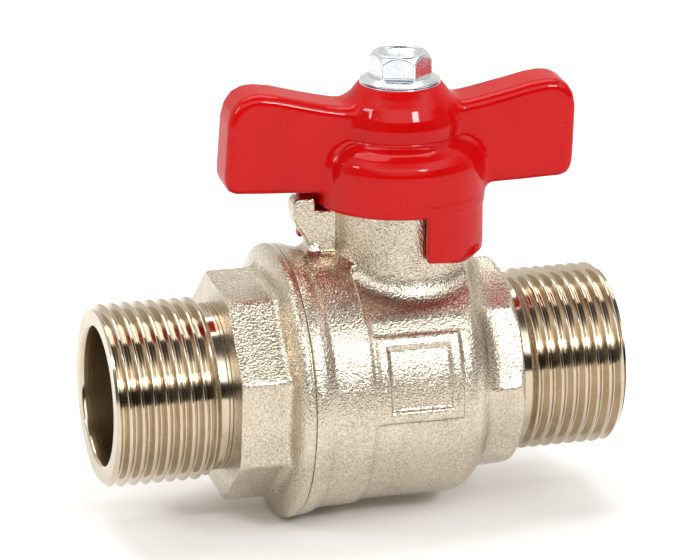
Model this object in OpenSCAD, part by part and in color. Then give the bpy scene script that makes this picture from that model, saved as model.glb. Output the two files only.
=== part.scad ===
// Full-bore ball valve, male pipe thread at both ends, with a butterfly handle.
// Two-piece forged body: the end connector screws into the body and traps
// the ball between two seats.  The stem drops its tang into the ball's slot.
// Frame: origin at the ball centre, X along the pipe (-X is the end
// connector's side), Z up the stem.  Millimetres.

/* [Pipe threads] */
// Crest diameter of the end connector's male pipe thread (G 3/4)
inlet_thread_d = 26.12; // [26.08:0.02:26.44]
// Crest diameter of the body's male pipe thread (G 3/4)
outlet_thread_d = 26.44; // [26.26:0.02:26.44]
// Thread pitch (14 threads per inch)
thread_pitch = 1.814; // [1.814:0.001:1.814]
// Thread depth
thread_depth = 1.1; // [1:0.02:1.16]
// End face of the end connector, measured from the stem axis
inlet_face = 45.2; // [44.8:0.1:46]
// End face of the body, measured from the stem axis
outlet_face = 30.7; // [30.6:0.1:31.5]

/* [Waterway] */
// Bore through both ends and the ball (nominal size 20)
bore_d = 20; // [19:0.1:20.4]
// Ball diameter
ball_d = 29.4; // [29.2:0.1:29.5]
// Clearance between the ball and its seats
seat_gap = 0.08; // [0.04:0.01:0.1]

/* [Body] */
// Radius of the plain barrel round the ball
barrel_r = 18.3; // [18.1:0.05:18.4]
// Radius of the ring at the body's joint
ring_r = 18.95; // [18.7:0.05:19.1]
// Radius of the rim at the joint face
rim_r = 19.75; // [19.5:0.05:19.9]
// Plane of the joint between body and end connector
seam_x = 18.0; // [17.8:0.1:18.2]
// Corner radius of the body's octagon
oct_body_r = 15.9; // [15.8:0.05:16.2]
// Turn of the body's octagon about the pipe
oct_body_turn = 0; // [-22:1:22]
// Outer radius of the neck
neck_r = 9.8; // [9.6:0.05:9.9]
// Height of the neck's top above the pipe axis
neck_top = 29.0; // [28.8:0.1:29.2]

/* [End connector] */
// Corner radius of the end connector's octagon
oct_end_r = 16.6; // [16.2:0.1:17]
// Turn of the end connector's octagon about the pipe
oct_end_turn = 17; // [0:1:45]
// Largest radius of the collar
collar_r = 20.0; // [19.8:0.05:20.2]

/* [Stem and gland] */
// Stem diameter
stem_d = 10; // [9.8:0.1:10]
// Radial clearance of the stem in its bore
stem_gap = 0.05; // [0.02:0.01:0.1]
// Height of the stem's top above the pipe axis
stem_top = 42.2; // [42:0.1:42.4]

/* [Handle] */
// Half span of the two wings
wing_span = 25.5; // [24:0.1:26]
// Thickness of the wings
wing_t = 8.8; // [8:0.1:9.2]
// Height of the skirt's lower edge above the pipe axis
skirt_z = 25.9; // [25.8:0.1:26.4]
// Outer radius of the skirt
skirt_r = 12.3; // [12.1:0.05:12.4]
// Height of the hub's top, under the washer
hub_top = 42.9; // [42.8:0.1:43]
// Turn of the handle from fully open, clockwise from above
handle_turn = 4; // [0:1:10]
// Width of the stop lug behind the pipe's middle plane
lug_half = 2.2; // [2:0.1:2.3]
// Width of the stop lug in front of the pipe's middle plane
lug_front = 1.3; // [1.2:0.1:1.4]
// Lean of the wings along the pipe, per millimetre of height
wing_lean = 0.06; // [0:0.01:0.08]
// Gap left between a stop tooth and the lug at the end of its travel
stop_gap = 0.2; // [0.1:0.05:0.4]

/* [Hidden] */
$fn = 96;
ti = inlet_thread_d / 2;
to = outlet_thread_d / 2;
br = bore_d / 2;
sr = ball_d / 2;
st = stem_d / 2;
flank = thread_depth * tan(27.5);
land = 0.3;
seat_x = 12.0;       // back of the seat pockets
seat_lip = 7.6;      // front of the seats, next to the ball
seat_or = 12.6;      // outer radius of the seats
spig_end = 8.8;      // inner end of the connector's spigot
joint_r = 16.4;      // crest radius of the joint thread, 1.5 pitch
joint_p = 1.5;
joint_h = 0.75;

brass = [0.80, 0.76, 0.68];
nickel = [0.78, 0.75, 0.69];
chrome = [0.86, 0.87, 0.88];
ptfe = [0.93, 0.93, 0.90];
black = [0.10, 0.10, 0.10];
red = [0.80, 0.05, 0.05];
zinc = [0.72, 0.75, 0.78];

// A turned shape about the pipe axis, from points [x, r]
module turn_x(pts) rotate([0, 90, 0]) rotate_extrude() polygon([for (p = pts) [p[1], p[0]]]);
// A turned shape about the stem axis, from points [r, z]
module turn_z(pts) rotate_extrude() polygon(pts);
// A plain cylinder along X, from x0 to x1
module cyl_x(r, x0, x1) translate([x0, 0, 0]) rotate([0, 90, 0]) cylinder(r = r, h = x1 - x0);
// An octagonal bar along X; a turn of 0 puts a corner on +Z
module oct_x(r, x0, x1, turn) translate([x0, 0, 0]) rotate([turn, 0, 0]) rotate([0, 90, 0]) cylinder(r = r, h = x1 - x0, $fn = 8);
// Profile of n annular ridges, from x0 upwards: list of [x, r]
function ridges(x0, n, p, root, crest, fl, ld) =
    [for (i = [0:n - 1]) for (k = [0:3])
        [x0 + i * p + [0, fl, fl + ld, 2 * fl + ld][k], [root, crest, crest, root][k]]];

// Male pipe thread with its core, from x0 (end face) to x1, first ridge at xr,
// crest radius tr, radius fr of the edge of the end face
module pipe_thread(x0, xr, n, x1, tr, fr)
    turn_x(concat([[x0, 0], [x0, fr], [x0 + 0.5, fr + 0.4], [x0 + 0.55, tr - thread_depth]],
        ridges(xr, n, thread_pitch, tr - thread_depth, tr, flank, land),
        [[x1, tr - thread_depth], [x1, 0]]));

module body_outside() {
    // barrel, ring and rim, turned about the pipe, flattened on both sides of the neck
    difference() {
    turn_x([[-seam_x, 0], [-seam_x, rim_r - 0.25], [-seam_x + 0.3, rim_r], [-16.6, rim_r - 0.05],
        [-15.4, rim_r - 0.4], [-14.6, ring_r], [-9.2, ring_r - 0.1], [-8.2, barrel_r],
        [5.2, barrel_r], [6.6, barrel_r - 0.35], [7.8, barrel_r - 1.1], [8.8, barrel_r - 2.1],
        [9.7, barrel_r - 3.2], [10.6, barrel_r - 3.9], [10.6, 0]]);
        for (s = [-1, 1]) translate([-9.2, s * 13.4, 12.45]) rotate([-s * 27, 0, 0]) translate([0, -11, 0]) cube([17.2, 22, 6]);
    }
    // wrench octagon with its turned chamfer
    intersection() {
        oct_x(oct_body_r, 8, 14.3, oct_body_turn);
        turn_x([[8, 0], [8, 17], [12.9, 17], [14.3, 15.0], [14.3, 0]]);
    }
    // outlet thread: the mirror image of a thread that starts at its end face
    mirror([1, 0, 0]) pipe_thread(-outlet_face, -outlet_face + 0.6, 8, -13.5, to, 12.3);
    // neck with its flared root
    turn_z([[0, 10], [neck_r + 2.6, 10], [neck_r + 2.6, 14.2], [neck_r + 1.3, 15.6], [neck_r + 0.4, 17.2],
        [neck_r, 18.8], [neck_r, neck_top - 0.5], [neck_r - 0.5, neck_top], [0, neck_top]]);
    // stop lug: a fin on the neck's inlet side with its tapering rib
    translate([0, lug_half, 0]) rotate([90, 0, 0]) linear_extrude(lug_half + lug_front)
        polygon([[-6, 15], [-14.2, 15], [-13.7, 19.6], [-13.9, 20.6], [-14.9, 22.0], [-15.9, 23.4],
            [-16.2, 25.0], [-16.0, 26.8], [-15.6, 27.2], [-12.9, 27.2], [-12.9, skirt_z - 0.5], [-6, skirt_z - 0.5]]);
    // plain raised square frame on the front of the barrel
    intersection() {
        difference() {
            translate([-2.1, -19, -0.2]) rotate([90, 0, 0]) translate([0, 0, -6]) linear_extrude(6) difference() {
                square([12.2, 12.6], center = true);
                square([9.8, 10.2], center = true);
            }
        }
        cyl_x(barrel_r + 0.35, -8.6, 4.4);
    }
}

module body_inside() {
    // inlet side: bore for the spigot with the female joint thread
    turn_x([[-seam_x - 1, 0], [-seam_x - 1, 17.0], [-seam_x, 17.0], [-seam_x + 0.7, joint_r + 0.1], [-15.6, joint_r + 0.1],
        [-15.5, joint_r - joint_h + 0.1],
        [-14.95, joint_r - joint_h + 0.1], [-14.7, joint_r + 0.1], [-14.2, joint_r + 0.1], [-13.95, joint_r - joint_h + 0.1],
        [-13.45, joint_r - joint_h + 0.1], [-13.2, joint_r + 0.1], [-12.7, joint_r + 0.1], [-12.45, joint_r - joint_h + 0.1],
        [-11.95, joint_r - joint_h + 0.1], [-11.7, joint_r + 0.1], [-11.2, joint_r + 0.1], [-10.95, joint_r - joint_h + 0.1],
        [-10.45, joint_r - joint_h + 0.1], [-10.2, joint_r + 0.1], [-9.7, joint_r + 0.1], [-9.45, joint_r - joint_h + 0.1],
        [-8.4, joint_r - joint_h + 0.1], [-8.4, sr + 0.4], [seat_lip + 0.4, sr + 0.4], [seat_lip + 0.4, 0]]);
    // outlet seat pocket and outlet bore
    cyl_x(seat_or + 0.05, seat_lip, seat_x);
    cyl_x(br, seat_x - 1, outlet_face + 1);
    turn_x([[outlet_face - 0.6, 0], [outlet_face - 0.6, br], [outlet_face, br + 0.5], [outlet_face + 1, br + 0.5], [outlet_face + 1, 0]]);
    // stem bore, collar pocket, gland chamber
    translate([0, 0, 10]) cylinder(r = 6.6, h = 18.4 - 10);
    translate([0, 0, 17]) cylinder(r = st + stem_gap, h = 12);
    translate([0, 0, 23.6]) cylinder(r = 6.55, h = 8);
    turn_z([[0, neck_top - 0.6], [6.55, neck_top - 0.6], [7.15, neck_top], [7.15, neck_top + 1], [0, neck_top + 1]]);
}

module valve_body() color(nickel) difference() {
    body_outside();
    body_inside();
}

module end_connector() color(nickel) difference() {
    union() {
        pipe_thread(-inlet_face, -inlet_face + 0.8, 8, -26.9, ti, 12.45);
        intersection() {
            oct_x(oct_end_r, -27.8, -19, -oct_end_turn);
            turn_x([[-27.8, 0], [-27.8, 16.2], [-27.2, 17.2], [-19, 17.2], [-19, 0]]);
        }
        // collar: domed outside, flat against the body
        turn_x([[-20.9, 0], [-20.9, 16.2], [-20.4, 17.6], [-20.1, 18.6], [-19.7, 19.5], [-19.2, collar_r - 0.1],
            [-18.7, collar_r], [-18.25, collar_r - 0.15], [-seam_x, collar_r - 0.5], [-seam_x, 0]]);
        // spigot with the male joint thread and the seal groove
        turn_x([[-seam_x - 0.5, 0], [-seam_x - 0.5, joint_r - 0.05], [-17.3, joint_r - 0.05], [-17.3, 15.1], [-15.7, 15.1],
            [-15.7, joint_r - joint_h], [-14.85, joint_r - joint_h], [-14.6, joint_r], [-14.3, joint_r], [-14.05, joint_r - joint_h],
            [-13.35, joint_r - joint_h], [-13.1, joint_r], [-12.8, joint_r], [-12.55, joint_r - joint_h],
            [-11.85, joint_r - joint_h], [-11.6, joint_r], [-11.3, joint_r], [-11.05, joint_r - joint_h],
            [-10.35, joint_r - joint_h], [-10.1, joint_r], [-9.8, joint_r], [-9.55, joint_r - joint_h],
            [-9.1, joint_r - joint_h], [-spig_end, joint_r - joint_h - 0.3], [-spig_end, 0]]);
    }
    cyl_x(br, -inlet_face - 1, -8);
    turn_x([[-inlet_face - 1, 0], [-inlet_face - 1, br + 0.5], [-inlet_face, br + 0.5], [-inlet_face + 0.6, br], [-inlet_face + 0.6, 0]]);
    cyl_x(seat_or + 0.05, -seat_x, -8);
}

module body_seal_ring() color(black) rotate([0, 90, 0]) translate([0, 0, -16.5]) rotate_extrude() translate([15.8, 0]) circle(r = 0.65, $fn = 32);

// One seat: a ring whose inner face follows the ball
module seat() difference() {
    turn_x([[seat_lip, br + 0.2], [seat_lip, seat_or - 0.3], [seat_lip + 0.3, seat_or], [seat_x - 0.02, seat_or], [seat_x - 0.02, br + 0.2]]);
    sphere(r = sr + seat_gap, $fn = 128);
}
module seat_outlet() color(ptfe) seat();
module seat_inlet() color(ptfe) mirror([1, 0, 0]) seat();

module turned() rotate([0, 0, -handle_turn]) children();

module ball() color(chrome) turned() difference() {
    sphere(r = sr, $fn = 128);
    cyl_x(br, -sr - 1, sr + 1);
    // slot for the stem's tang, across the waterway
    translate([-2.5, -sr, 11.4]) cube([5, 2 * sr, 5]);
}

module stem() color(brass) turned() {
    difference() {
        union() {
            // tang, collar and shank
            intersection() {
                translate([-2.4, -4.6, 11.6]) cube([4.8, 9.2, 5]);
                cylinder(r = 5.6, h = 20);
            }
            difference() {
                turn_z([[0, 15.6], [6.1, 15.6], [6.4, 15.9], [6.4, 17.4], [st, 17.4],
                    [st, 18.9], [4.1, 18.9], [4.1, 20.1], [st, 20.1], [st, 21.3], [4.1, 21.3], [4.1, 22.5], [st, 22.5],
                    [st, stem_top - 0.5], [st - 0.5, stem_top], [0, stem_top]]);
                // two flats that drive the handle
                for (s = [-1, 1]) translate([s > 0 ? 3.5 : -13.5, -10, 32.0]) cube([10, 20, 12]);
            }
        }
        // tapped hole for the handle screw
        translate([0, 0, stem_top - 10]) cylinder(r = 2.5, h = 12, $fn = 48);
    }
}

module o_ring(z) rotate_extrude() translate([4.56, z]) circle(r = 0.44, $fn = 32);
module stem_o_ring_lower() color(black) o_ring(19.5);
module stem_o_ring_upper() color(black) o_ring(21.9);
module thrust_washer() color(ptfe) turn_z([[st + 0.08, 17.45], [6.5, 17.45], [6.5, 18.38], [st + 0.08, 18.38]]);
module packing_ring_lower() color(ptfe) turn_z([[st + 0.06, 23.62], [6.5, 23.62], [6.5, 25.1], [st + 0.06, 25.1]]);
module packing_ring_upper() color(ptfe) turn_z([[st + 0.06, 25.12], [6.5, 25.12], [6.5, 26.6], [st + 0.06, 26.6]]);
module gland_nut() color(brass) difference() {
    union() {
        turn_z([[0, 26.62], [6.2, 26.62], [6.5, 26.9], [6.5, 29.3], [0, 29.3]]);
        translate([0, 0, 29.2]) cylinder(r = 7.5, h = 2.4, $fn = 6);
    }
    translate([0, 0, 20]) cylinder(r = st + 0.1, h = 20);
}

module handle() color(red) turned() difference() {
    union() {
        // hub: skirt, shoulder and dome
        turn_z([[0, skirt_z], [skirt_r - 0.4, skirt_z], [skirt_r, skirt_z + 0.4], [skirt_r, 31.4], [skirt_r - 0.15, 32.5],
            [skirt_r - 0.6, 33.5], [skirt_r - 1.35, 34.4], [skirt_r - 2.4, 35.15], [8.8, 35.75], [8.6, 36.2], [8.75, 37.4], [8.5, 39.0],
            [7.8, 40.7], [6.8, 42.2], [6.0, hub_top], [0, hub_top]]);
        // two wings, rounded at the tips and over the top
        intersection() {
            translate([0, wing_t / 2, 0]) rotate([90, 0, 0]) linear_extrude(wing_t) union() for (s = [-1, 1]) {
                polygon([for (p = [[0, 28.6], [9, 28.2], [wing_span - 1.6, 28.8], [wing_span, 30.4], [wing_span - 0.2, 39.1],
                    [wing_span - 4.2, 43.3], [wing_span - 6.5, 43.05], [12, 41.3], [9, 40.8], [0, 40.8]]) [s * p[0] - wing_lean * (hub_top - p[1]), p[1]]]);
                translate([s * (wing_span - 4.4) - wing_lean * (hub_top - 39.1), 39.1]) circle(r = 4.2, $fn = 64);
                translate([s * (wing_span - 1.7) - wing_lean * (hub_top - 30.5), 30.5]) circle(r = 1.7, $fn = 32);
            }
            rotate([90, 0, 90]) translate([0, 0, -30]) linear_extrude(60) union() {
                translate([0, 38.0]) square([wing_t, 18.0], center = true);
                translate([0, 28.6]) square([wing_t - 2, 4], center = true);
            }
        }
        // closing tooth: the skirt carried down round part of the neck
        difference() {
            intersection() {
                turn_z([[10.25, 18.2], [skirt_r - 1.2, 18.2], [skirt_r - 0.2, 19.2], [skirt_r, 20.6], [skirt_r, 29], [10.25, 29]]);
                translate([lug_front + stop_gap, -20, 18]) cube([11.4 - lug_front - stop_gap, 20, 12]);
            }
            // room for the body's ring when the valve is shut
            rotate([0, 0, 90]) cyl_x(ring_r + 0.4, -17, -7);
        }
        // opening tooth: a short rib under the inlet-side wing
        translate([-14.4, lug_half + stop_gap, 20.2]) cube([4.1, 2.0, 9.5]);
    }
    // hollow under the hub, round the neck and the gland nut
    translate([0, 0, skirt_z - 10]) cylinder(r = 10.25, h = 32.2 - skirt_z + 10);
    // hole with two flats for the stem
    intersection() {
        translate([0, 0, 30]) cylinder(r = st + 0.06, h = 20);
        translate([-3.55, -8, 30]) cube([7.1, 16, 20]);
    }
}

module lock_washer() color(zinc) turned() turn_z([[2.7, hub_top + 0.01], [5.85, hub_top + 0.01], [5.85, hub_top + 0.45], [2.7, hub_top + 0.45]]);

module handle_screw() color(zinc) turned() translate([0, 0, hub_top + 0.47]) difference() {
    union() {
        // flange
        turn_z([[0, 0], [5.75, 0], [5.85, 0.15], [5.75, 0.45], [4.7, 0.95], [0, 0.95]]);
        // hexagon with its turned top
        intersection() {
            rotate([0, 0, 45]) cylinder(r = 8 / sqrt(3), h = 4.4, $fn = 6);
            turn_z([[0, 0], [4.8, 0], [4.8, 2.9], [4.05, 4.1], [3.8, 4.35], [0, 4.35]]);
        }
        // shank
        translate([0, 0, -9.4]) cylinder(r = 2.45, h = 9.6, $fn = 48);
    }
    // dished top
    turn_z([[0, 3.7], [2.9, 3.75], [3.45, 4.4], [3.45, 5], [0, 5]]);
}

valve_body();
end_connector();
body_seal_ring();
seat_inlet();
seat_outlet();
ball();
stem();
stem_o_ring_lower();
stem_o_ring_upper();
thrust_washer();
packing_ring_lower();
packing_ring_upper();
gland_nut();
handle();
lock_washer();
handle_screw();
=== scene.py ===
import math

import bmesh
import bpy
import numpy as np
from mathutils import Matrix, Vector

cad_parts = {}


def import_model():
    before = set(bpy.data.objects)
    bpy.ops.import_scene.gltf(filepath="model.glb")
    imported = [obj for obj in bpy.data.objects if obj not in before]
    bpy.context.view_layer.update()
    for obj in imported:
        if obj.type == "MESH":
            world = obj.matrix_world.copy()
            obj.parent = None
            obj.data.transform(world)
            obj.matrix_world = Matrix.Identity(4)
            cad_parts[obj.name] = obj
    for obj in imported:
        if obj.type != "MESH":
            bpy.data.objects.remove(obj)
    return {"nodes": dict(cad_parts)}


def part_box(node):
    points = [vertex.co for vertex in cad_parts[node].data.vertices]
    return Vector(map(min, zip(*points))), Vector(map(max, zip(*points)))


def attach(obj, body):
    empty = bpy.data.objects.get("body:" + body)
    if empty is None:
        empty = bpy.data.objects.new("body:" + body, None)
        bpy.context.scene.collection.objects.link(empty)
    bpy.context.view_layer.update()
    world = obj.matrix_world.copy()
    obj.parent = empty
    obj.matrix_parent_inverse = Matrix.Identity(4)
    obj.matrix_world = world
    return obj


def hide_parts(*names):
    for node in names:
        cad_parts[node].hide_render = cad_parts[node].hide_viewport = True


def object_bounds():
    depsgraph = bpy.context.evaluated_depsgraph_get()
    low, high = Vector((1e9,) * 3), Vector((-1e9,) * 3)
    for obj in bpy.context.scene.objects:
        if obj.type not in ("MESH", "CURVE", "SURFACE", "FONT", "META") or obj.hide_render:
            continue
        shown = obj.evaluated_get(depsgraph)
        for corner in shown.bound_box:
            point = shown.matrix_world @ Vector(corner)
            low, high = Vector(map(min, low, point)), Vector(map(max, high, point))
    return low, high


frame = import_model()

import openvdb as vdb
from mathutils import Vector

# Lengths below are millimetres in the row frame; objects are scaled to metres.
CAD_LO, CAD_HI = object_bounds()
MM = 0.001
VOX = 0.16        # body, connector and handle
VOX_SCREW = 0.075

# Planes and radii that the CAD settles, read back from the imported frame
BODY_LO, BODY_HI = (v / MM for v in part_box("valve_body"))
END_LO, END_HI = (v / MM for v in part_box("end_connector"))
HANDLE_LO, HANDLE_HI = (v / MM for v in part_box("handle"))
WASHER_LO, WASHER_HI = (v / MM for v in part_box("lock_washer"))
SCREW_LO, SCREW_HI = (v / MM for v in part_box("handle_screw"))
X_IN, X_OUT = END_LO.x, BODY_HI.x    # the two end faces
SEAM = BODY_LO.x                     # joint between end connector and body
SKIRT_Z = 25.9
HUB_TOP = HANDLE_HI.z
TURN = math.radians(-4.0)            # the handle's turn at rest
NECK_TOP = 29.0

PITCH, DEPTH, BORE = 1.814, 1.1, 10.0


# ---------------------------------------------------------------- mesh tools

def new_object(name, mesh, body, nodes, materials):
    mesh.validate()
    ob = bpy.data.objects.new(name, mesh)
    bpy.context.scene.collection.objects.link(ob)
    for m in materials:
        mesh.materials.append(m)
    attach(ob, body)
    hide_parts(*nodes)
    return ob


def raw_mesh(name, P, faces, smooth=True):
    """A mesh from points in millimetres and an (n, 3) or (n, 4) array of corners."""
    me = bpy.data.meshes.new(name)
    n, k = faces.shape
    me.vertices.add(len(P))
    me.vertices.foreach_set("co", (P * MM).astype(np.float32).ravel())
    me.loops.add(n * k)
    me.loops.foreach_set("vertex_index", faces.astype(np.int32).ravel())
    me.polygons.add(n)
    me.polygons.foreach_set("loop_start", np.arange(0, n * k, k, dtype=np.int32))
    me.polygons.foreach_set("use_smooth", np.full(n, smooth))
    me.update(calc_edges=True)
    return me


def merged(me, sharp_deg=None, dist=2e-7):
    """Merges coincident points, drops degenerate pieces and, given an angle, marks sharp edges."""
    bm = bmesh.new()
    bm.from_mesh(me)
    bmesh.ops.remove_doubles(bm, verts=bm.verts, dist=dist)
    bmesh.ops.dissolve_degenerate(bm, dist=1e-8, edges=bm.edges)
    bm.to_mesh(me)
    bm.free()
    me.update()
    if sharp_deg is not None:
        me.set_sharp_from_angle(angle=math.radians(sharp_deg))
    return me


def grid_faces(rows, cols, close=False):
    """Corners of the quads of a rows by cols grid of points; close joins the last column to the first."""
    i = np.arange(rows - 1)[:, None]
    j = np.arange(cols if close else cols - 1)[None, :]
    j2 = (j + 1) % cols
    a, b = i * cols + j, i * cols + j2
    c, d = (i + 1) * cols + j2, (i + 1) * cols + j
    return np.stack([a, b, c, d], -1).reshape(-1, 4)


def join_parts(name, parts, smooth=True):
    P, F, base = [], [], 0
    for p, f in parts:
        P.append(p)
        F.append(f + base)
        base += len(p)
    return raw_mesh(name, np.concatenate(P), np.concatenate(F), smooth)


def lathe(points, axis="x", seg=192, centre=(0.0, 0.0), arc=0.25):
    """A turned surface from [along, radius] points; long straight runs are cut so that shading stays even."""
    pts = [points[0]]
    for q in points[1:]:
        p = pts[-1]
        L = math.dist(p, q)
        k = max(1, int(L / max(arc, 0.05) / 8))
        pts += [[p[0] + (q[0] - p[0]) * i / k, p[1] + (q[1] - p[1]) * i / k] for i in range(1, k + 1)]
    pts = np.array(pts, float)
    t = np.linspace(0, 2 * math.pi, seg, endpoint=False)
    A, R = pts[:, 0][:, None], pts[:, 1][:, None]
    c, s = np.cos(t)[None, :], np.sin(t)[None, :]
    if axis == "x":
        P = np.stack([A + 0 * c, R * c, R * s], -1)
    else:
        P = np.stack([centre[0] + R * c, centre[1] + R * s, A + 0 * c], -1)
    return P.reshape(-1, 3), grid_faces(len(pts), seg, close=True)


def rounded(points, r, steps=4):
    """The same open chain with every inner corner rounded by up to radius r."""
    out = [points[0]]
    for a, b, c in zip(points, points[1:], points[2:]):
        a, b, c = map(np.array, (a, b, c))
        u, v = a - b, c - b
        lu, lv = np.linalg.norm(u), np.linalg.norm(v)
        u, v = u / lu, v / lv
        cosw = float(np.clip(u @ v, -1, 1))
        half = math.acos(cosw) / 2
        cut = min(r / max(math.tan(half), 1e-6), lu * 0.45, lv * 0.45)
        p, q = b + u * cut, b + v * cut
        for k in range(steps + 1):
            w = k / steps
            out.append(list((1 - w) ** 2 * p + 2 * w * (1 - w) * b + w ** 2 * q))
    out.append(points[-1])
    return out


# ---------------------------------------------------------------- distance fields

class Field:
    """A box of voxels in millimetres. Fields on it are negative inside the solid."""

    def __init__(self, lo, hi, h):
        self.h = h
        self.lo = np.array(lo, float) - 3 * h
        n = np.ceil((np.array(hi, float) + 3 * h - self.lo) / h).astype(int) + 1
        self.x, self.y, self.z = (self.lo[i] + h * np.arange(n[i]) for i in range(3))
        self.X = self.x[:, None, None].astype(np.float32)
        self.Y = self.y[None, :, None].astype(np.float32)
        self.Z = self.z[None, None, :].astype(np.float32)

    def turned_x(self, pts, soft=0.12):
        """Turned about the pipe axis from [x, r] points."""
        r = np.arange(-1.0, 24.0, 0.05)
        poly = [[pts[0][0], -9.0]] + pts + [[pts[-1][0], -9.0]]
        T = soften(poly_field(poly, self.x, r), soft, self.h, 0.05)
        R = np.hypot(self.y[:, None], self.z[None, :]).ravel()
        out = np.empty((len(self.x), len(self.y), len(self.z)), np.float32)
        for i in range(len(self.x)):
            out[i] = np.interp(R, r, T[i]).reshape(out.shape[1:])
        return out

    def turned_z(self, pts, soft=0.12, centre=(0.0, 0.0)):
        """Turned about the stem axis from [r, z] points."""
        r = np.arange(-1.0, 38.0, 0.05)
        poly = [[-9.0, pts[0][1]]] + pts + [[-9.0, pts[-1][1]]]
        T = soften(poly_field(poly, r, self.z), soft, 0.05, self.h)
        Q = np.hypot(self.x[:, None] - centre[0], self.y[None, :] - centre[1]).ravel()
        out = np.empty((len(self.x), len(self.y), len(self.z)), np.float32)
        for k in range(len(self.z)):
            out[:, :, k] = np.interp(Q, r, T[:, k]).reshape(out.shape[:2])
        return out


def poly_field(pts, gx, gy):
    """Distance to a closed polygon at each point of the grid gx by gy."""
    P = np.array(pts, float)
    X, Y = np.meshgrid(gx, gy, indexing="ij")
    d2 = np.full(X.shape, 1e18)
    inside = np.zeros(X.shape, bool)
    for (ax, ay), (bx, by) in zip(P, np.roll(P, -1, 0)):
        ex, ey = bx - ax, by - ay
        L = ex * ex + ey * ey
        if L < 1e-12:
            continue
        t = np.clip(((X - ax) * ex + (Y - ay) * ey) / L, 0, 1)
        d2 = np.minimum(d2, (X - ax - t * ex) ** 2 + (Y - ay - t * ey) ** 2)
        if abs(ey) > 1e-12:
            inside ^= ((ay > Y) != (by > Y)) & (X < ax + (Y - ay) * ex / ey)
    return np.where(inside, -1.0, 1.0) * np.sqrt(d2)


def soften(T, sigma, hx, hy):
    """A Gaussian blur, which rounds both corners and hollows."""
    if sigma <= 0:
        return T
    for ax, h in ((0, hx), (1, hy)):
        s = sigma / h
        n = int(math.ceil(3 * s))
        if n < 1:
            continue
        k = np.exp(-0.5 * (np.arange(-n, n + 1) / s) ** 2)
        k /= k.sum()
        pad = [(n, n) if a == ax else (0, 0) for a in range(2)]
        Tp = np.pad(T, pad, mode="edge")
        out = np.zeros_like(T)
        for i, w in enumerate(k):
            out += w * (Tp[i:i + T.shape[0], :] if ax == 0 else Tp[:, i:i + T.shape[1]])
        T = out
    return T


def join(a, b, k):
    """Smooth union: the fillet is about k wide."""
    h = np.maximum(k - np.abs(a - b), 0) / k
    return np.minimum(a, b) - h * h * k * 0.25


def cut(a, b, k):
    """a without b, with the new edge rounded."""
    return -join(-a, b, k)


def both(a, b, k):
    """Where a and b overlap, with a rounded edge."""
    return -join(-a, -b, k)


def octagon(Y, Z, corner, turn, k):
    """An octagonal bar along X; a turn of 0 puts a corner on +Z. turn is in degrees, towards -Y."""
    ap = corner * math.cos(math.pi / 8)
    out = None
    for i in range(8):
        t = math.radians(22.5 + 45 * i + turn)
        d = (-math.sin(t) * Y + math.cos(t) * Z - ap).astype(np.float32)
        out = d if out is None else both(out, d, k)
    return out


def mesh_of(name, F, D, relief=None, flip=False):
    """The surface of a field as a quad mesh, moved onto the exact level set, with the field's own normals."""
    g = vdb.FloatGrid(background=float(3 * F.h))
    g.copyFromArray(np.ascontiguousarray(D, dtype=np.float32))
    p, q = g.convertToQuads(isovalue=0.0)
    p, q = np.array(p, float), np.array(q, np.int64)
    G = np.gradient(D)
    hi = np.array(D.shape) - 1.001

    def sample(A, p):
        p = np.clip(p, 0, hi)
        i = p.astype(int)
        f = (p - i).astype(np.float32)
        i2 = np.minimum(i + 1, np.array(A.shape) - 1)
        out = 0
        for a in (0, 1):
            for b in (0, 1):
                for c in (0, 1):
                    w = (f[:, 0] if a else 1 - f[:, 0]) * (f[:, 1] if b else 1 - f[:, 1]) * (f[:, 2] if c else 1 - f[:, 2])
                    out = out + w * A[(i2 if a else i)[:, 0], (i2 if b else i)[:, 1], (i2 if c else i)[:, 2]]
        return out

    for _ in range(3):
        d = sample(D, p)
        g3 = np.stack([sample(c, p) for c in G], -1)
        n2 = np.maximum((g3 ** 2).sum(-1), 1e-3)
        step = g3 * (d / n2)[:, None]
        L = np.linalg.norm(step, axis=1, keepdims=True)
        p = p - step * np.minimum(1.0, 0.5 / np.maximum(L, 1e-9))
    g3 = np.stack([sample(c, p) for c in G], -1)
    N = g3 / np.maximum(np.linalg.norm(g3, axis=1, keepdims=True), 1e-9)
    P = p * F.h + F.lo
    # the winding follows the field's normals
    a, b, c = P[q[:, 0]], P[q[:, 1]], P[q[:, 2]]
    fn = np.cross(b - a, c - a)
    if (fn * N[q[:, 0]]).sum() < 0:
        q = q[:, ::-1]
    if relief is not None:
        P = P + N * relief(P)[:, None]
    return P, q, N


def solid_piece(name, F, D, body, nodes, materials, relief=None, turn=0.0):
    P, q, N = mesh_of(name, F, D, relief)
    if turn:
        c, s = math.cos(turn), math.sin(turn)
        M = np.array([[c, -s, 0], [s, c, 0], [0, 0, 1]])
        P, N = P @ M.T, N @ M.T
    me = raw_mesh(name, P, q)
    me.normals_split_custom_set_from_vertices(N.astype(np.float32))
    return new_object(name, me, body, nodes, materials)


def waves(P, seed, length, amount, count=14):
    """Smooth unevenness from a few seeded waves."""
    rng = np.random.default_rng(seed)
    out = np.zeros(len(P))
    for _ in range(count):
        k = rng.normal(size=3)
        k *= 2 * math.pi / (length * rng.uniform(0.7, 1.6)) / np.linalg.norm(k)
        out += np.sin(P @ k + rng.uniform(0, 2 * math.pi))
    return amount * out / math.sqrt(count)


# ---------------------------------------------------------------- materials

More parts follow.
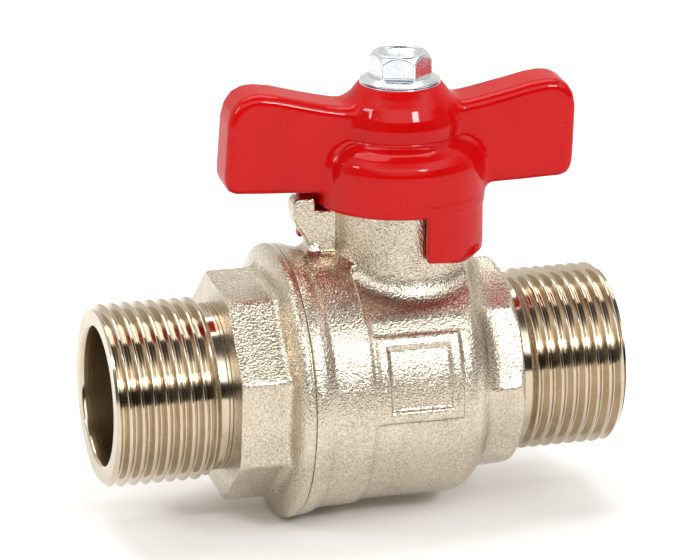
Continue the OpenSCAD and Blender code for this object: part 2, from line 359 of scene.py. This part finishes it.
class Nodes:
    def __init__(self, name):
        self.m = bpy.data.materials.new(name)
        self.m.use_nodes = True
        self.t = self.m.node_tree
        self.t.nodes.clear()
        self.out = self.t.nodes.new("ShaderNodeOutputMaterial")
        self.b = self.t.nodes.new("ShaderNodeBsdfPrincipled")
        self.t.links.new(self.b.outputs[0], self.out.inputs[0])
        self.co = self.t.nodes.new("ShaderNodeTexCoord").outputs["Object"]

    def put(self, kind, **values):
        n = self.t.nodes.new("ShaderNode" + kind)
        for k, v in values.items():
            setattr(n, k, v)
        return n

    def link(self, a, b):
        self.t.links.new(a, b)

    def scaled(self, factor, vec=None):
        n = self.put("Mapping")
        n.inputs["Scale"].default_value = factor if hasattr(factor, "__len__") else (factor,) * 3
        self.link(vec or self.co, n.inputs["Vector"])
        return n.outputs[0]

    def noise(self, scale, detail=2.0, rough=0.5, vec=None, distortion=0.0):
        n = self.put("TexNoise")
        n.inputs["Scale"].default_value = scale
        n.inputs["Detail"].default_value = detail
        n.inputs["Roughness"].default_value = rough
        n.inputs["Distortion"].default_value = distortion
        self.link(vec or self.co, n.inputs["Vector"])
        return n.outputs[0]

    def voronoi(self, scale, feature="F1", vec=None):
        n = self.put("TexVoronoi", feature=feature)
        n.inputs["Scale"].default_value = scale
        self.link(vec or self.co, n.inputs["Vector"])
        return n

    def ramp(self, fac, stops):
        n = self.put("ValToRGB")
        e = n.color_ramp.elements
        while len(e) < len(stops):
            e.new(0.5)
        for el, (pos, col) in zip(e, stops):
            el.position = pos
            el.color = col if hasattr(col, "__len__") else (col, col, col, 1)
        self.link(fac, n.inputs[0])
        return n.outputs[0]

    def map(self, fac, a, b, c, d):
        n = self.put("MapRange")
        for i, v in enumerate((a, b, c, d)):
            n.inputs[i + 1].default_value = v
        self.link(fac, n.inputs[0])
        return n.outputs[0]

    def math(self, op, a, b=None, clamp=False):
        n = self.put("Math", operation=op, use_clamp=clamp)
        for i, v in enumerate((a, b)):
            if v is None:
                continue
            if isinstance(v, (int, float)):
                n.inputs[i].default_value = v
            else:
                self.link(v, n.inputs[i])
        return n.outputs[0]

    def mix(self, fac, a, b, blend="MIX"):
        n = self.put("Mix", data_type="RGBA", blend_type=blend)
        for sock, v in ((n.inputs[0], fac), (n.inputs[6], a), (n.inputs[7], b)):
            if isinstance(v, (int, float)):
                sock.default_value = v
            elif isinstance(v, tuple):
                sock.default_value = v if len(v) == 4 else v + (1,)
            else:
                self.link(v, sock)
        return n.outputs[2]

    def bump(self, height, strength, distance, normal=None):
        n = self.put("Bump")
        n.inputs["Strength"].default_value = strength
        n.inputs["Distance"].default_value = distance
        self.link(height, n.inputs["Height"])
        if normal is not None:
            self.link(normal, n.inputs["Normal"])
        return n.outputs[0]

    def xyz(self):
        n = self.put("SeparateXYZ")
        self.link(self.co, n.inputs[0])
        return n.outputs

    def done(self, **values):
        for k, v in values.items():
            s = self.b.inputs[k.replace("_", " ")]
            if isinstance(v, (int, float)):
                s.default_value = v
            elif isinstance(v, tuple):
                s.default_value = (v + (1,))[:len(s.default_value)]
            else:
                self.link(v, s)
        return self.m


def blasted_nickel():
    """Nickel plating over a sand-blasted forging, slightly warm and uneven, with a fine blasted texture in the bump;
    the colour carries painted glints as bright specks and painted shade as dark spots.
    """
    n = Nodes("nickel_blasted")
    grain_and_glints = n.noise(3000, 3.0, 0.66)
    pits_and_pit_shade = n.voronoi(3300)
    cloud = n.noise(160, 4.0, 0.6)
    patch = n.noise(45, 2.0, 0.5)
    fine = n.mix(0.45, grain_and_glints, pits_and_pit_shade.outputs["Distance"])
    base = n.ramp(cloud, [(0.30, (0.41, 0.34, 0.25, 1)), (0.55, (0.52, 0.445, 0.34, 1)), (0.75, (0.61, 0.53, 0.42, 1))])
    base = n.mix(n.map(patch, 0.35, 0.7, 0.0, 0.35), base, (0.53, 0.43, 0.31))
    # painted highlight: bright specks in the colour stand in for the sparkle of the blasted surface
    base = n.mix(n.map(grain_and_glints, 0.38, 0.66, 0.0, 0.75), base, (0.84, 0.77, 0.65))
    # painted shade: dark spots in the colour stand in for shade in the blasted hollows
    base = n.mix(n.map(pits_and_pit_shade.outputs["Distance"], 0.0, 0.34, 0.80, 0.0), base, (0.20, 0.165, 0.12))
    rough = n.map(fine, 0.25, 0.75, 0.24, 0.13)
    normal = n.bump(fine, 1.0, 0.00011)
    normal = n.bump(n.noise(900, 2.0), 0.18, 0.00010, normal)
    return n.done(Base_Color=base, Metallic=1.0, Roughness=rough, Normal=normal)


def machined_nickel():
    """Turned and plated: nearly a mirror, with faint turning lines round the pipe."""
    n = Nodes("nickel_machined")
    x, y, z = n.xyz()
    r = n.math("SQRT", n.math("ADD", n.math("MULTIPLY", y, y), n.math("MULTIPLY", z, z)))
    c = n.put("CombineXYZ")
    n.link(n.math("MULTIPLY", x, 1.0), c.inputs[0])
    n.link(n.math("MULTIPLY", r, 1.0), c.inputs[1])
    lines = n.noise(9000, 2.0, 0.7, n.scaled((1, 1, 0), c.outputs[0]))
    wear = n.noise(220, 4.0, 0.65)
    spots = n.noise(1500, 2.0, 0.6)
    base = n.mix(n.map(wear, 0.35, 0.75, 0.0, 1.0), (0.55, 0.46, 0.345), (0.66, 0.57, 0.45))
    base = n.mix(n.map(spots, 0.62, 0.80, 0.0, 0.5), base, (0.34, 0.29, 0.22))
    rough = n.map(wear, 0.3, 0.75, 0.08, 0.17)
    normal = n.bump(lines, 0.25, 0.00002)
    normal = n.bump(n.noise(600, 2.0), 0.10, 0.00006, normal)
    return n.done(Base_Color=base, Metallic=1.0, Roughness=rough, Normal=normal)


def bored_brass():
    """The inside of the bore: brass-coloured with turning lines, its colour darkened as painted shade inside the bore.
    """
    n = Nodes("brass_bored")
    x, y, z = n.xyz()
    c = n.put("CombineXYZ")
    n.link(x, c.inputs[0])
    lines = n.noise(4200, 3.0, 0.7, c.outputs[0])
    blot = n.noise(180, 3.0, 0.6)
    # painted shade: the dark stops of this ramp stand in for the shade inside the bore; the stripes are turning lines
    base = n.ramp(lines, [(0.30, (0.13, 0.085, 0.035, 1)), (0.50, (0.31, 0.225, 0.115, 1)), (0.72, (0.52, 0.42, 0.26, 1))])
    base = n.mix(n.map(blot, 0.35, 0.7, 0.0, 0.6), base, (0.20, 0.135, 0.06))
    normal = n.bump(lines, 0.5, 0.00005)
    return n.done(Base_Color=base, Metallic=1.0, Roughness=n.map(blot, 0.3, 0.7, 0.28, 0.45), Normal=normal)


def red_paint():
    """Thick glossy red paint on a casting: slight orange peel and dust."""
    n = Nodes("paint_red")
    peel = n.noise(420, 2.0, 0.45)
    fine = n.noise(1900, 2.0, 0.5)
    cloud = n.noise(70, 3.0, 0.55)
    dust = n.voronoi(900)
    base = n.ramp(cloud, [(0.3, (0.45, 0.0020, 0.0022, 1)), (0.7, (0.53, 0.003, 0.0032, 1))])
    speck = n.map(dust.outputs["Distance"], 0.0, 0.13, 1.0, 0.0)
    base = n.mix(n.math("MULTIPLY", speck, n.map(n.noise(240, 2.0), 0.55, 0.7, 0.0, 0.5)), base, (0.80, 0.30, 0.26))
    rough = n.map(peel, 0.3, 0.7, 0.20, 0.30)
    normal = n.bump(peel, 0.16, 0.00012)
    normal = n.bump(fine, 0.10, 0.00003, normal)
    m = n.done(Base_Color=base, Roughness=rough, Normal=normal, Specular_IOR_Level=0.0, Coat_Weight=0.45, Coat_Roughness=0.045, Coat_IOR=1.5)
    return m


def zinc():
    """Blue zinc plate on the screw and its washer, with faint rainbow blotches and handling marks."""
    n = Nodes("zinc_blue")
    cloud = n.noise(420, 3.0, 0.55)
    marks = n.noise(1700, 4.0, 0.7)
    base = n.ramp(cloud, [(0.28, (0.55, 0.62, 0.72, 1)), (0.5, (0.72, 0.76, 0.80, 1)), (0.70, (0.80, 0.79, 0.74, 1))])
    base = n.mix(n.map(marks, 0.60, 0.80, 0.0, 0.6), base, (0.36, 0.38, 0.42))
    normal = n.bump(marks, 0.22, 0.00003)
    return n.done(Base_Color=base, Metallic=1.0, Roughness=n.map(marks, 0.3, 0.75, 0.16, 0.36), Normal=normal)


def chrome():
    n = Nodes("chrome_ball")
    marks = n.noise(900, 3.0, 0.6)
    base = n.mix(n.map(marks, 0.4, 0.75, 0.0, 1.0), (0.78, 0.79, 0.80), (0.66, 0.66, 0.66))
    return n.done(Base_Color=base, Metallic=1.0, Roughness=n.map(marks, 0.3, 0.8, 0.05, 0.16), Normal=n.bump(marks, 0.08, 0.00002))


def stem_brass():
    n = Nodes("brass_turned")
    x, y, z = n.xyz()
    c = n.put("CombineXYZ")
    n.link(z, c.inputs[2])
    lines = n.noise(5200, 2.0, 0.6, c.outputs[0])
    blot = n.noise(260, 3.0, 0.6)
    base = n.mix(n.map(blot, 0.3, 0.75, 0.0, 1.0), (0.68, 0.50, 0.22), (0.82, 0.67, 0.38))
    return n.done(Base_Color=base, Metallic=1.0, Roughness=n.map(lines, 0.3, 0.7, 0.20, 0.34), Normal=n.bump(lines, 0.3, 0.00003))


def ptfe():
    n = Nodes("ptfe_white")
    cloud = n.noise(300, 4.0, 0.6)
    base = n.mix(n.map(cloud, 0.3, 0.75, 0.0, 1.0), (0.78, 0.78, 0.74), (0.90, 0.90, 0.87))
    return n.done(Base_Color=base, Roughness=n.map(cloud, 0.3, 0.7, 0.42, 0.55), Normal=n.bump(n.noise(2400, 2.0), 0.2, 0.00003), Subsurface_Weight=0.15, Subsurface_Radius=(0.001, 0.001, 0.001))


def rubber():
    n = Nodes("nbr_black")
    cloud = n.noise(500, 3.0, 0.6)
    base = n.mix(n.map(cloud, 0.3, 0.75, 0.0, 1.0), (0.018, 0.018, 0.018), (0.045, 0.045, 0.043))
    return n.done(Base_Color=base, Roughness=n.map(cloud, 0.3, 0.7, 0.45, 0.65), Normal=n.bump(n.noise(2600, 2.0), 0.3, 0.00003))


NICKEL, MACHINED, BORED, RED, ZINC = blasted_nickel(), machined_nickel(), bored_brass(), red_paint(), zinc()
CHROME, BRASS, PTFE, RUBBER = chrome(), stem_brass(), ptfe(), rubber()


# ---------------------------------------------------------------- pipe threads

def thread_radius(u, crest):
    """Radius of a thread with rounded crests and roots, u along the axis from a crest's middle."""
    u = np.abs((u + PITCH / 2) % PITCH - PITCH / 2)
    flank = crest + 0.10 - (u - 0.13) / math.tan(math.radians(27.5))
    top = np.full_like(u, crest)
    root = np.full_like(u, crest - DEPTH)

    def soft_min(a, b, k):
        h = np.maximum(k - np.abs(a - b), 0) / k
        return np.minimum(a, b) - h * h * k * 0.25

    r = soft_min(flank, top, 0.16)
    return -soft_min(-r, -root, 0.22)


def thread_part(face, inward, crest, top, lead, fade, relief):
    """The helical surface between the end face and the relief. inward is +1 where the part lies on the +X side of its
    face. top is where a crest crosses the +Z side; lead is the chamfer's [x, r] points; fade the run-out's two planes."""
    N, K = ((256, 28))
    phi = np.linspace(0, 2 * math.pi, N + 1)
    xa, xb = (lead[0][0], relief) if inward > 0 else (relief, lead[0][0])
    lo = xa - top - PITCH * 1.3
    s = np.arange(math.floor(lo / PITCH) * K, math.ceil((xb - top + PITCH * 1.3) / PITCH) * K + 1) * PITCH / K
    x = top + s[:, None] + PITCH * (phi[None, :] / (2 * math.pi) - 0.25)
    centre = x - s[:, None]
    x = np.clip(x, xa, xb)
    r = thread_radius(x - centre, crest)
    core = crest - DEPTH
    f0, f1 = fade
    w = np.clip((x - f1) / (f0 - f1), 0, 1)
    w = w * w * (3 - 2 * w)
    r = core + (r - core) * w + 0.0
    cone = np.interp(x if inward > 0 else -x, [p[0] if inward > 0 else -p[0] for p in lead], [p[1] for p in lead])
    r = np.minimum(r, cone)
    P = np.stack([x, r * np.cos(phi), r * np.sin(phi)], -1).reshape(-1, 3)
    return P, grid_faces(len(s), N + 1)


def threaded_end(name, face, inward, crest, top, face_r, bore_end, relief_end, body, node, grooves):
    d = float(inward)
    lead = [[face + d * 0.0, face_r], [face + d * 0.35, face_r + 0.30], [face + d * 0.8, face_r + 0.75], [face + d * 1.6, crest + 0.3], [face + d * 30, crest + 0.3]]
    core = crest - DEPTH
    run0 = relief_end - d * 3.1
    P, F = thread_part(face, inward, crest, top, lead, (run0, run0 + d * 1.3), relief_end - d * 1.2)
    parts = [(P, F)]
    # relief behind the thread, with two thin turned grooves
    a = relief_end - d * 1.2
    back = [[a, core], [a + d * 0.25, core + 0.02], [a + d * 0.35, core - 0.12], [a + d * 0.45, core + 0.04],
            [a + d * 0.80, core + 0.06], [a + d * 0.88, core - 0.08], [a + d * 0.98, core + 0.10], [relief_end + d * 0.4, core + 0.12]]
    parts.append(lathe(back))
    # end face, rounded into the bore
    front = [[face, face_r], [face, BORE + 0.42]]
    parts.append(lathe(front))
    mouth = [[face, BORE + 0.42], [face + d * 0.03, BORE + 0.30], [face + d * 0.12, BORE + 0.17], [face + d * 0.28, BORE + 0.06], [face + d * 0.5, BORE]]
    parts.append(lathe(mouth))
    n_out = sum(len(f) for _, f in parts)
    parts.append(lathe([[face + d * 0.5, BORE]] + [[face + d * (0.5 + i), BORE] for i in range(1, int(abs(bore_end - face)) - 1)] + [[bore_end, BORE]]))
    me = join_parts(name, parts)
    mat = np.zeros(len(me.polygons), np.int32)
    mat[n_out:] = 1
    me.polygons.foreach_set("material_index", mat)
    me = merged(me, 38.0)
    me = fix_direction(me)
    return new_object(name, me, body, [node], [MACHINED, BORED])


def fix_direction(me):
    """Consistent winding, with the outermost wall looking away from the pipe axis."""
    bm = bmesh.new()
    bm.from_mesh(me)
    bmesh.ops.recalc_face_normals(bm, faces=bm.faces)
    best = max(bm.faces, key=lambda f: math.hypot(f.calc_center_median().y, f.calc_center_median().z))
    c = best.calc_center_median()
    if best.normal.y * c.y + best.normal.z * c.z < 0:
        bmesh.ops.reverse_faces(bm, faces=bm.faces)
    bm.to_mesh(me)
    bm.free()
    return me


# ---------------------------------------------------------------- valve body

OCT_BODY_TURN = -2.0
OCT_END_TURN = -17.0


def build_body():
    F = Field((SEAM, -20.0, -20.0), (14.4, 20.0, NECK_TOP), VOX)
    # barrel, ring and rim
    barrel = F.turned_x([[SEAM, 19.74], [SEAM + 0.1, 19.78], [-17.15, 19.76], [-17.05, 19.71], [-16.95, 19.75], [-16.4, 19.68],
                         [-15.5, 19.38], [-14.75, 18.98], [-14.2, 18.92], [-9.3, 18.82], [-8.3, 18.32], [5.4, 18.3], [6.4, 18.05],
                         [7.4, 17.5], [8.3, 16.6], [9.1, 15.6], [9.9, 14.8], [10.8, 14.3], [14.3, 14.3]], 0.16)
    # planes that flatten the barrel on both sides of the neck, and the crease below them
    slope = math.radians(27.0)
    flat = (np.abs(F.Y) - 13.4) * math.sin(slope) + (F.Z - 12.45) * math.cos(slope)
    ends = np.abs(F.X + 0.6) - 8.6
    barrel = cut(barrel, both(-flat, ends, 0.5), 0.35)
    # wrench octagon, chamfered by turning
    octo = octagon(F.Y, F.Z, 15.95, OCT_BODY_TURN, 0.5)
    octo = both(octo, F.turned_x([[7.0, 17.4], [12.6, 17.4], [14.3, 15.0]], 0.10), 0.35)
    octo = both(np.broadcast_to(octo, barrel.shape), 7.6 - F.X, 0.5)
    D = join(barrel, octo, 1.5)
    # neck with its fillet
    neck = F.turned_z([[9.9, 4.0], [9.9, 28.55], [9.55, NECK_TOP], [0.0, NECK_TOP]], 0.12)
    # stop lug and its rib
    uz = poly_field([[-4, 14], [-14.0, 14], [-13.75, 19.6], [-13.95, 20.6], [-14.85, 22.0], [-15.8, 23.4], [-16.2, 25.0],
                     [-16.12, 26.6], [-15.6, 27.2], [-12.9, 27.2], [-12.9, 25.4], [-4, 25.4]], F.x, F.z)
    uz = soften(uz, 0.14, F.h, F.h).astype(np.float32)[:, None, :]
    lug = both(np.broadcast_to(uz, barrel.shape), np.abs(F.Y - 0.45) - 1.75, 0.5)
    neck = join(neck, lug, 1.3)
    D = join(D, neck, 2.4)
    del neck, lug, octo, barrel
    # the fillets round the lug leave room for the closing tooth's travel
    r_plan = np.hypot(F.X, F.Y)
    sweep = np.maximum(np.maximum(np.abs(r_plan - 11.28) - 1.18, F.Y + 1.36), np.maximum(19.24 - np.hypot(F.Y, F.Z), np.maximum(18.05 - F.Z, F.X - 1.0)))
    D = cut(D, np.broadcast_to(sweep, D.shape).astype(np.float32), 0.12)
    del sweep
    # plain raised square frame on the front
    th = np.degrees(np.arctan2(-F.y[:, None], F.z[None, :]))
    arc = (np.radians(th - 76.3) * 18.3).astype(np.float32)[None]
    bx = np.abs(F.X + 2.1)
    box_out = np.maximum(bx - 6.2, np.abs(arc) - 6.2)
    box_in = np.maximum(bx - 4.55, np.abs(arc) - 4.55)
    ring = both(box_out, -box_in, 0.6)
    R = np.hypot(F.Y, F.Z)
    frame_ring = both(ring, np.maximum(R - 18.88, 17.0 - R), 0.5)
    D = join(D, frame_ring, 0.6)
    del ring, frame_ring, box_out, box_in
    # inside: joint bore, ball chamber, seat pocket, bore, stem bore and gland chamber
    inner = F.turned_x([[SEAM - 2, 16.6], [-9.5, 16.5], [-8.4, 15.75], [-8.4, 15.1], [8.0, 15.1], [8.0, 12.65], [12.0, 12.65], [12.0, BORE], [16.0, BORE]], 0.05)
    D = cut(D, inner, 0.15)
    D = cut(D, F.turned_z([[6.6, 10.0], [6.6, 18.4], [5.05, 18.4], [5.05, 23.6], [6.55, 23.6], [6.55, 28.5], [7.1, NECK_TOP], [7.1, 31.0], [0.0, 31.0]], 0.05), 0.12)
    rough = lambda P: waves(P, 3, 5.0, 0.018) + waves(P, 4, 1.6, 0.006)
    return solid_piece("body_forging", F, D, "housing", ["valve_body"], [NICKEL], rough)


def build_connector():
    F = Field((-28.4, -20.0, -20.0), (-8.8, 20.0, 20.0), VOX)
    octo = octagon(F.Y, F.Z, 16.7, OCT_END_TURN, 0.35)
    octo = both(octo, F.turned_x([[-27.8, 16.1], [-27.05, 17.3], [-18.6, 17.3]], 0.06), 0.2)
    collar = F.turned_x([[-20.75, 14.0], [-20.55, 16.6], [-20.35, 17.6], [-20.0, 18.7], [-19.6, 19.5], [-19.15, 19.9], [-18.75, 19.97], [-18.35, 19.85],
                         [SEAM - 0.02, 19.80]], 0.05)
    D = join(octo, collar, 1.3)
    spigot = F.turned_x([[-19.0, 16.3], [-17.4, 16.3], [-17.3, 15.1], [-15.7, 15.1], [-15.6, 16.2], [-9.6, 16.2], [-8.8, 15.5]], 0.05)
    D = np.minimum(D, spigot)
    D = cut(D, F.turned_x([[-30.0, BORE], [-12.0, BORE], [-12.0, 12.65], [-7.0, 12.65]], 0.04), 0.1)
    rough = lambda P: np.where(P[:, 0] < -27.6, 0.0, 1.0) * (waves(P, 7, 5.0, 0.014) + waves(P, 8, 1.6, 0.005))
    return solid_piece("connector_forging", F, D, "housing", ["end_connector"], [NICKEL], rough)


# ---------------------------------------------------------------- handle

def build_handle():
    F = Field((-26.6, -12.4, 18.1), (25.6, 12.4, HUB_TOP + 0.8), VOX)
    hub = F.turned_z([[11.95, SKIRT_Z], [12.3, 26.25], [12.3, 31.3], [12.2, 32.3], [11.85, 33.3], [11.2, 34.25], [10.3, 34.95], [9.35, 35.4], [8.8, 35.75],
                      [8.6, 36.2], [8.75, 36.8], [8.8, 37.9], [8.45, 39.3], [7.75, 40.9], [6.85, 42.2], [6.05, HUB_TOP - 0.1], [5.6, HUB_TOP], [0.0, HUB_TOP]], 0.13)
    # two wings that lean a little along the pipe: outline seen from the side
    half = [[0, 28.4], [9, 28.2], [23.8, 28.8], [24.9, 29.3], [25.4, 30.4], [25.5, 31.6], [25.4, 39.1], [25.0, 40.9], [24.0, 42.4], [22.6, 43.15], [21.0, 43.3],
            [18.6, 42.95], [14.5, 41.95], [11.5, 41.25], [9.0, 40.8], [0, 40.7]]
    uz = poly_field([[u - 0.06 * (HUB_TOP - z), z] for u, z in half] + [[-u - 0.06 * (HUB_TOP - z), z] for u, z in half[::-1]], F.x, F.z)
    uz = soften(uz, 0.25, F.h, F.h).astype(np.float32)[:, None, :]
    thick = np.abs(F.Y) - (4.4 - 0.02 * (F.Z - 35))
    wing = both(np.broadcast_to(uz, hub.shape), thick, 1.7)
    D = join(hub, wing, 1.3)
    del wing
    # closing tooth: the skirt carried down round part of the neck
    tooth = F.turned_z([[0.0, 18.2], [11.1, 18.2], [12.1, 19.2], [12.28, 20.6], [12.28, 27.6], [0.0, 27.6]], 0.10)
    side = np.maximum(np.maximum(1.5 - F.X, F.X - 11.4), F.Y)
    tooth = both(tooth, side, 0.5)
    tooth = both(tooth, np.broadcast_to(19.4 - np.hypot(F.X, F.Z), tooth.shape), 0.3)
    D = join(D, np.broadcast_to(tooth, D.shape), 0.3)
    # opening tooth
    rib = np.maximum(np.maximum(np.abs(F.X + 12.35) - 2.05, np.abs(F.Y - 3.4) - 1.0), np.maximum(20.2 - F.Z, F.Z - 31.0))
    D = join(D, np.broadcast_to(rib, D.shape), 0.7)
    D = cut(D, F.turned_z([[10.25, 10.0], [10.25, 32.2], [0.0, 32.2]], 0.05), 0.3)
    bore = both(np.hypot(F.X, F.Y) - 5.06, np.abs(F.X) - 3.55, 0.1)
    D = cut(D, np.broadcast_to(bore, D.shape), 0.15)
    rough = lambda P: waves(P, 11, 7.0, 0.020)
    return solid_piece("handle_casting", F, D, "operator", ["handle"], [RED], rough, TURN)


def build_screw():
    base = SCREW_HI.z - 4.35
    F = Field((-5.9, -5.9, base - 9.5), (5.9, 5.9, SCREW_HI.z), VOX_SCREW)
    flange = F.turned_z([[5.6, base], [5.85, base + 0.15], [5.78, base + 0.42], [5.2, base + 0.72], [4.7, base + 0.95], [0.0, base + 1.2]], 0.05)
    ap = 4.0
    hexa = None
    for i in range(6):
        t = math.radians(45 + 30 + 60 * i)
        d = (math.cos(t) * F.X + math.sin(t) * F.Y - ap).astype(np.float32)
        hexa = d if hexa is None else both(hexa, d, 0.12)
    top = F.turned_z([[4.9, base], [4.9, base + 2.85], [4.05, base + 4.1], [3.8, base + 4.35], [0.0, base + 4.35]], 0.05)
    head = both(np.broadcast_to(hexa, top.shape), top, 0.12)
    D = join(head, flange, 0.35)
    D = cut(D, F.turned_z([[0.0, base + 3.62], [2.5, base + 3.68], [3.0, base + 3.95], [3.45, base + 4.5], [3.45, base + 5.2], [0.0, base + 5.2]], 0.05), 0.12)
    D = np.minimum(D, F.turned_z([[2.3, base - 9.4], [2.45, base - 9.2], [2.45, base + 0.5], [0.0, base + 0.5]], 0.04))
    return solid_piece("screw_head", F, D, "operator", ["handle_screw"], [ZINC], None, TURN)


def build_washer():
    z0, z1 = WASHER_LO.z, WASHER_HI.z
    m = (z0 + z1) / 2
    ring = rounded([[m, 2.72], [z0, 2.72], [z0, 5.84], [z1, 5.84], [z1, 2.72], [m, 2.72]], 0.14)
    P, Fc = lathe(ring, "z", 144)
    me = merged(raw_mesh("washer_disc", P, Fc), 50.0)
    bm = bmesh.new()
    bm.from_mesh(me)
    bmesh.ops.recalc_face_normals(bm, faces=bm.faces)
    bm.to_mesh(me)
    bm.free()
    return new_object("washer_disc", me, "operator", ["lock_washer"], [ZINC])


build_body()
build_connector()
threaded_end("connector_thread", X_IN, 1, 13.17, -43.68, 12.45, -12.0, -27.8, "housing", "end_connector", True)
threaded_end("body_thread", X_OUT, -1, 13.22, 29.40, 12.35, 12.0, 14.3, "housing", "valve_body", True)
build_handle()
build_screw()
build_washer()

# CAD nodes that stay: inner pieces with their own finishes
for names, mat in ((("ball",), CHROME), (("stem", "gland_nut"), BRASS), (("seat_inlet", "seat_outlet", "thrust_washer", "packing_ring_lower", "packing_ring_upper"), PTFE),
                   (("body_seal_ring", "stem_o_ring_lower", "stem_o_ring_upper"), RUBBER)):
    for nm in names:
        ob = frame["nodes"][nm]
        if not ob.material_slots:
            ob.data.materials.append(mat)
        for s in ob.material_slots:
            s.material = mat


# ---------------------------------------------------------------- stage, light, camera

def floor():
    z = CAD_LO.z - 0.00003
    me = bpy.data.meshes.new("floor")
    s = 6.0
    me.from_pydata([(-s, -s, z), (s, -s, z), (s, s, z), (-s, s, z)], [], [(0, 1, 2, 3)])
    ob = bpy.data.objects.new("floor", me)
    bpy.context.scene.collection.objects.link(ob)
    n = Nodes("floor_white")
    n.done(Base_Color=(0.96, 0.955, 0.945), Roughness=0.9, Specular_IOR_Level=0.0)
    me.materials.append(n.m)


def world():
    w = bpy.data.worlds.new("studio")
    bpy.context.scene.world = w
    w.use_nodes = True
    t = w.node_tree
    t.nodes.clear()
    out = t.nodes.new("ShaderNodeOutputWorld")
    bg = t.nodes.new("ShaderNodeBackground")
    t.links.new(bg.outputs[0], out.inputs[0])
    co = t.nodes.new("ShaderNodeTexCoord")
    sep = t.nodes.new("ShaderNodeSeparateXYZ")
    t.links.new(co.outputs["Generated"], sep.inputs[0])

    def ramp(fac, stops, interp="LINEAR"):
        n = t.nodes.new("ShaderNodeValToRGB")
        n.color_ramp.interpolation = interp
        e = n.color_ramp.elements
        while len(e) < len(stops):
            e.new(0.5)
        for el, (pos, col) in zip(e, stops):
            el.position = pos
            el.color = tuple(col) + (1,)
        t.links.new(fac, n.inputs[0])
        return n.outputs[0]

    def mapr(fac, a, b, c=0.0, d=1.0, kind="SMOOTHSTEP"):
        n = t.nodes.new("ShaderNodeMapRange")
        n.interpolation_type = kind
        for i, v in enumerate((a, b, c, d)):
            n.inputs[i + 1].default_value = v
        t.links.new(fac, n.inputs[0])
        return n.outputs[0]

    def mix(fac, a, b):
        n = t.nodes.new("ShaderNodeMix")
        n.data_type = "RGBA"
        t.links.new(fac, n.inputs[0])
        for s, v in ((n.inputs[6], a), (n.inputs[7], b)):
            if isinstance(v, tuple):
                s.default_value = v + (1,)
            else:
                t.links.new(v, s)
        return n.outputs[2]

    x, y, z = sep.outputs
    up = mapr(z, -1.0, 1.0, 0.0, 1.0, "LINEAR")

    def el(deg):
        return (math.sin(math.radians(deg)) + 1) / 2

    # front half: dark band above the horizon, softbox, darker ceiling
    front = ramp(up, [(0.0, (0.72, 0.70, 0.66)), (el(-4), (0.80, 0.78, 0.74)), (el(0), (0.030, 0.029, 0.027)), (el(19), (0.022, 0.021, 0.020)),
                      (el(25), (1.0, 1.0, 1.0)), (el(48), (1.0, 1.0, 1.0)), (el(60), (0.14, 0.137, 0.134)), (1.0, (0.08, 0.078, 0.075))])
    back = ramp(up, [(0.0, (0.72, 0.70, 0.66)), (el(-4), (0.85, 0.83, 0.79)), (el(8), (0.90, 0.88, 0.84)), (el(50), (0.80, 0.78, 0.74)), (el(72), (0.14, 0.137, 0.134)), (1.0, (0.08, 0.078, 0.075))])
    is_back = mapr(y, -0.15, 0.35)
    side = mapr(x, -0.95, -0.55)
    side2 = mapr(x, 0.95, 0.55)
    m = t.nodes.new("ShaderNodeMath")
    m.operation = "MULTIPLY"
    t.links.new(side, m.inputs[0])
    t.links.new(side2, m.inputs[1])
    # the softbox is brighter than paper white
    lift = t.nodes.new("ShaderNodeMix")
    lift.data_type = "RGBA"
    lift.blend_type = "MULTIPLY"
    lift.inputs[0].default_value = 1.0
    t.links.new(front, lift.inputs[6])
    band = ramp(up, [(0.0, (0.45, 0.45, 0.45)), (el(18), (0.45, 0.45, 0.45)), (el(26), (1.0, 1.0, 1.0)), (el(46), (1.0, 1.0, 1.0)), (el(56), (0.45, 0.45, 0.45)), (1.0, (0.45, 0.45, 0.45))])
    gain = t.nodes.new("ShaderNodeVectorMath")
    gain.operation = "SCALE"
    gain.inputs[3].default_value = 2.2
    t.links.new(band, gain.inputs[0])
    t.links.new(gain.outputs[0], lift.inputs[7])
    front = lift.outputs[2]
    front = mix(m.outputs[0], (0.20, 0.19, 0.18), front)
    col = mix(is_back, front, back)
    t.links.new(col, bg.inputs[0])
    bg.inputs[1].default_value = 1.0


def area(name, loc, target, size, power, colour=(1, 1, 1)):
    l = bpy.data.lights.new(name, "AREA")
    l.shape = "RECTANGLE"
    l.size, l.size_y = size
    l.energy = power
    l.color = colour
    ob = bpy.data.objects.new(name, l)
    bpy.context.scene.collection.objects.link(ob)
    ob.location = loc
    ob.rotation_euler = (Vector(target) - Vector(loc)).to_track_quat("-Z", "Y").to_euler()
    return ob


def camera():
    a, e = math.radians(-16.3), math.radians(17.113)
    back = Vector((math.sin(a) * math.cos(e), -math.cos(a) * math.cos(e), math.sin(e)))
    cam = bpy.data.cameras.new("cam")
    cam.sensor_width = 36.0
    cam.lens = 4710.334 / 700 * 36.0
    cam.clip_start, cam.clip_end = 0.01, 20
    ob = bpy.data.objects.new("cam", cam)
    bpy.context.scene.collection.objects.link(ob)
    ob.location = Vector((-0.007417, 0.0, 0.014138)) + back * 0.680
    ob.rotation_mode = "QUATERNION"
    ob.rotation_quaternion = (-back).to_track_quat("-Z", "Y")
    bpy.context.scene.camera = ob


floor()
world()
area("key", (0.22, -0.72, 0.46), (0, 0, 0.03), (0.17, 0.12), 2.4)
area("side", (-0.70, -0.08, 0.42), (0, 0, 0.03), (0.13, 0.10), 0.9)
area("top", (0.0, 0.25, 0.75), (0, 0, 0), (0.7, 0.5), 3.4)
camera()
vs = bpy.context.scene.view_settings
vs.view_transform = "Standard"
vs.look = "None"
vs.exposure = 0.0
